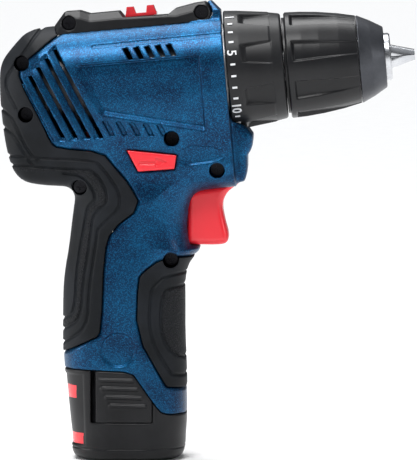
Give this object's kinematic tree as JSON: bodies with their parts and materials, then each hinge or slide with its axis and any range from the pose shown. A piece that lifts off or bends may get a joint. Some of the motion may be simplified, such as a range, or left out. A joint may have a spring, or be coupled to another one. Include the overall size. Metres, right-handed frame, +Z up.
{
  "type": "cordless drill driver",
  "caption": "Cordless drill driver with a keyless three-jaw chuck, torque collar, two-speed gearbox and a slide-in battery that it stands on.",
  "frame": {"origin": "middle of the flat face that the battery stands on", "axes": "+Z up, +X forward towards the chuck, +Y to the left; the spindle points 5 degrees above +X"},
  "size_m": [0.1678, 0.049, 0.1851],
  "materials": {
    "blue_plastic": "metallic satin moulded plastic",
    "soft_grip": "textured thermoplastic rubber",
    "black_plastic": "matt moulded nylon",
    "red_plastic": "satin moulded plastic",
    "collar_plastic": "fine grained nylon",
    "sleeve_plastic": "satin moulded nylon",
    "nose_metal": "gunmetal coated",
    "chuck_steel": "ground steel",
    "gear_steel": "machined steel",
    "spring_steel": "drawn wire",
    "screw_steel": "blackened steel",
    "motor_steel": "zinc plated",
    "alloy": "die cast",
    "copper": "enamelled copper wire",
    "magnet": "sintered magnet",
    "brass": "plated brass",
    "board": "solder resist",
    "lens": "clear moulded",
    "wire": "insulated wire",
    "cell_wrap": "shrink wrap",
    "battery_plastic": "fine grained nylon"
  },
  "bodies": {
    "root": {"housing_right": "blue_plastic", "housing_left": "blue_plastic", "soft_grip_right": "soft_grip", "soft_grip_left": "soft_grip", "top_cover": "black_plastic", "housing_screws": "screw_steel", "ball_bearings": "gear_steel", "gearbox_case": "alloy", "gearbox_rear_plate": "gear_steel", "clutch_ring_gear": "gear_steel", "clutch_pins": "gear_steel", "clutch_washer": "gear_steel", "collar_retainer": "gear_steel", "clutch_spring": "spring_steel", "motor_can": "motor_steel", "motor_end_cap": "black_plastic", "stator_core": "motor_steel", "stator_coils": "copper", "trigger_switch": "black_plastic", "control_board": "board", "heat_sink": "alloy", "lamp_lens": "lens", "lamp_board": "board", "terminal_holder": "black_plastic", "terminal_blades": "brass", "inner_wires": "wire", "trigger_spring": "spring_steel"},
    "rotor": {"motor_shaft": "gear_steel", "rotor_magnet": "magnet", "cooling_fan": "black_plastic"},
    "carrier_one": {"stage_one_carrier": "gear_steel"},
    "spindle": {"spindle": "gear_steel", "chuck_body": "chuck_steel", "chuck_screw": "screw_steel"},
    "collar": {"torque_collar": "collar_plastic"},
    "torque_nut": {"torque_nut": "black_plastic"},
    "selector": {"gear_selector": "red_plastic", "shift_fork": "spring_steel", "shift_ring_gear": "gear_steel"},
    "trigger": {"trigger": "red_plastic"},
    "lever": {"direction_lever": "red_plastic"},
    "chuck_sleeve": {"chuck_sleeve": "sleeve_plastic", "chuck_nose_sleeve": "nose_metal", "chuck_nut": "gear_steel"},
    "battery": {"battery_case": "battery_plastic", "battery_base": "battery_plastic", "battery_cells": "cell_wrap", "cell_cradle": "black_plastic", "battery_contacts": "brass"},
    "latch_right": {"latch_right": "battery_plastic"},
    "latch_left": {"latch_left": "battery_plastic"},
    "planet_one_1": {"stage_one_planet_1": "gear_steel"},
    "planet_one_2": {"stage_one_planet_2": "gear_steel"},
    "planet_one_3": {"stage_one_planet_3": "gear_steel"},
    "planet_two_1": {"stage_two_planet_1": "gear_steel"},
    "planet_two_2": {"stage_two_planet_2": "gear_steel"},
    "planet_two_3": {"stage_two_planet_3": "gear_steel"},
    "jaw_1": {"chuck_jaw_1": "chuck_steel"},
    "jaw_2": {"chuck_jaw_2": "chuck_steel"},
    "jaw_3": {"chuck_jaw_3": "chuck_steel"}
  },
  "joints": [
    {"name": "rotor_spin", "type": "hinge", "parent": "root", "child": "rotor", "pos_m": [0.0393, 0, 0.1567], "axis": [0.9962, 0, 0.0872], "continuous": true},
    {"name": "carrier_one_spin", "type": "hinge", "parent": "root", "child": "carrier_one", "pos_m": [0.0393, 0, 0.1567], "axis": [0.9962, 0, 0.0872], "continuous": true},
    {"name": "spindle_spin", "type": "hinge", "parent": "root", "child": "spindle", "pos_m": [0.0393, 0, 0.1567], "axis": [0.9962, 0, 0.0872], "continuous": true},
    {"name": "planet_one_1_spin", "type": "hinge", "parent": "carrier_one", "child": "planet_one_1", "pos_m": [0.01738, 0.00945, 0.15478], "axis": [0.9962, 0, 0.0872], "continuous": true},
    {"name": "planet_one_2_spin", "type": "hinge", "parent": "carrier_one", "child": "planet_one_2", "pos_m": [0.01667, -0.00473, 0.16294], "axis": [0.9962, 0, 0.0872], "continuous": true},
    {"name": "planet_one_3_spin", "type": "hinge", "parent": "carrier_one", "child": "planet_one_3", "pos_m": [0.0181, -0.00473, 0.14663], "axis": [0.9962, 0, 0.0872], "continuous": true},
    {"name": "planet_two_1_spin", "type": "hinge", "parent": "spindle", "child": "planet_two_1", "pos_m": [0.02735, 0.00945, 0.15565], "axis": [0.9962, 0, 0.0872], "continuous": true},
    {"name": "planet_two_2_spin", "type": "hinge", "parent": "spindle", "child": "planet_two_2", "pos_m": [0.02663, -0.00473, 0.16381], "axis": [0.9962, 0, 0.0872], "continuous": true},
    {"name": "planet_two_3_spin", "type": "hinge", "parent": "spindle", "child": "planet_two_3", "pos_m": [0.02806, -0.00473, 0.1475], "axis": [0.9962, 0, 0.0872], "continuous": true},
    {"name": "collar_turn", "type": "hinge", "parent": "root", "child": "collar", "pos_m": [0.0393, 0, 0.1567], "axis": [-0.9962, 0, -0.0872], "range_deg": [0, 240]},
    {"name": "torque_nut_slide", "type": "slide", "parent": "collar", "child": "torque_nut", "axis": [-0.9962, 0, -0.0872], "range_m": [0, 0.004], "deforming": ["clutch_spring"]},
    {"name": "gear_selector_slide", "type": "slide", "parent": "root", "child": "selector", "axis": [0.9962, 0, 0.0872], "range_m": [0, 0.003]},
    {"name": "direction_lever_slide", "type": "slide", "parent": "root", "child": "lever", "axis": [0, 1, 0], "range_m": [-0.0025, 0.0025]},
    {"name": "trigger_pull", "type": "slide", "parent": "root", "child": "trigger", "axis": [-1, 0, 0], "range_m": [0, 0.006], "stiffness_N_per_m": 800, "springref_m": -0.003, "deforming": ["trigger_spring"]},
    {"name": "chuck_sleeve_turn", "type": "hinge", "parent": "spindle", "child": "chuck_sleeve", "pos_m": [0.0393, 0, 0.1567], "axis": [0.9962, 0, 0.0872], "range_deg": [0, 3600]},
    {"name": "jaw_1_slide", "type": "slide", "parent": "spindle", "child": "jaw_1", "axis": [-0.9708, -0.1545, 0.1837], "range_m": [0, 0.0162]},
    {"name": "jaw_2_slide", "type": "slide", "parent": "spindle", "child": "jaw_2", "axis": [-0.9241, -0.1545, -0.3495], "range_m": [0, 0.0162]},
    {"name": "jaw_3_slide", "type": "slide", "parent": "spindle", "child": "jaw_3", "axis": [-0.9474, 0.309, -0.0829], "range_m": [0, 0.0162]},
    {"name": "battery_slide", "type": "slide", "parent": "root", "child": "battery", "axis": [0, 0, -1], "range_m": [0, 0.062]},
    {"name": "latch_right_press", "type": "hinge", "parent": "battery", "child": "latch_right", "pos_m": [0, -0.0211, 0.0167], "axis": [-1, 0, 0], "range_deg": [0, 3], "stiffness_Nm_per_rad": 2, "springref_deg": -1.15},
    {"name": "latch_left_press", "type": "hinge", "parent": "battery", "child": "latch_left", "pos_m": [0, 0.0211, 0.0167], "axis": [1, 0, 0], "range_deg": [0, 3], "stiffness_Nm_per_rad": 2, "springref_deg": -1.15}
  ],
  "couplings": [
    {"joint": "carrier_one_spin", "follows": "rotor_spin", "ratio": 0.22222},
    {"joint": "spindle_spin", "follows": "rotor_spin", "ratio": 0.049383},
    {"joint": "planet_one_1_spin", "follows": "rotor_spin", "ratio": -0.62222},
    {"joint": "planet_one_2_spin", "follows": "rotor_spin", "ratio": -0.62222},
    {"joint": "planet_one_3_spin", "follows": "rotor_spin", "ratio": -0.62222},
    {"joint": "planet_two_1_spin", "follows": "rotor_spin", "ratio": -0.13827},
    {"joint": "planet_two_2_spin", "follows": "rotor_spin", "ratio": -0.13827},
    {"joint": "planet_two_3_spin", "follows": "rotor_spin", "ratio": -0.13827},
    {"joint": "torque_nut_slide", "follows": "collar_turn", "m_per_rad": 0.00095493},
    {"joint": "jaw_1_slide", "follows": "chuck_sleeve_turn", "m_per_rad": 0.00025783},
    {"joint": "jaw_2_slide", "follows": "chuck_sleeve_turn", "m_per_rad": 0.00025783},
    {"joint": "jaw_3_slide", "follows": "chuck_sleeve_turn", "m_per_rad": 0.00025783}
  ]
}
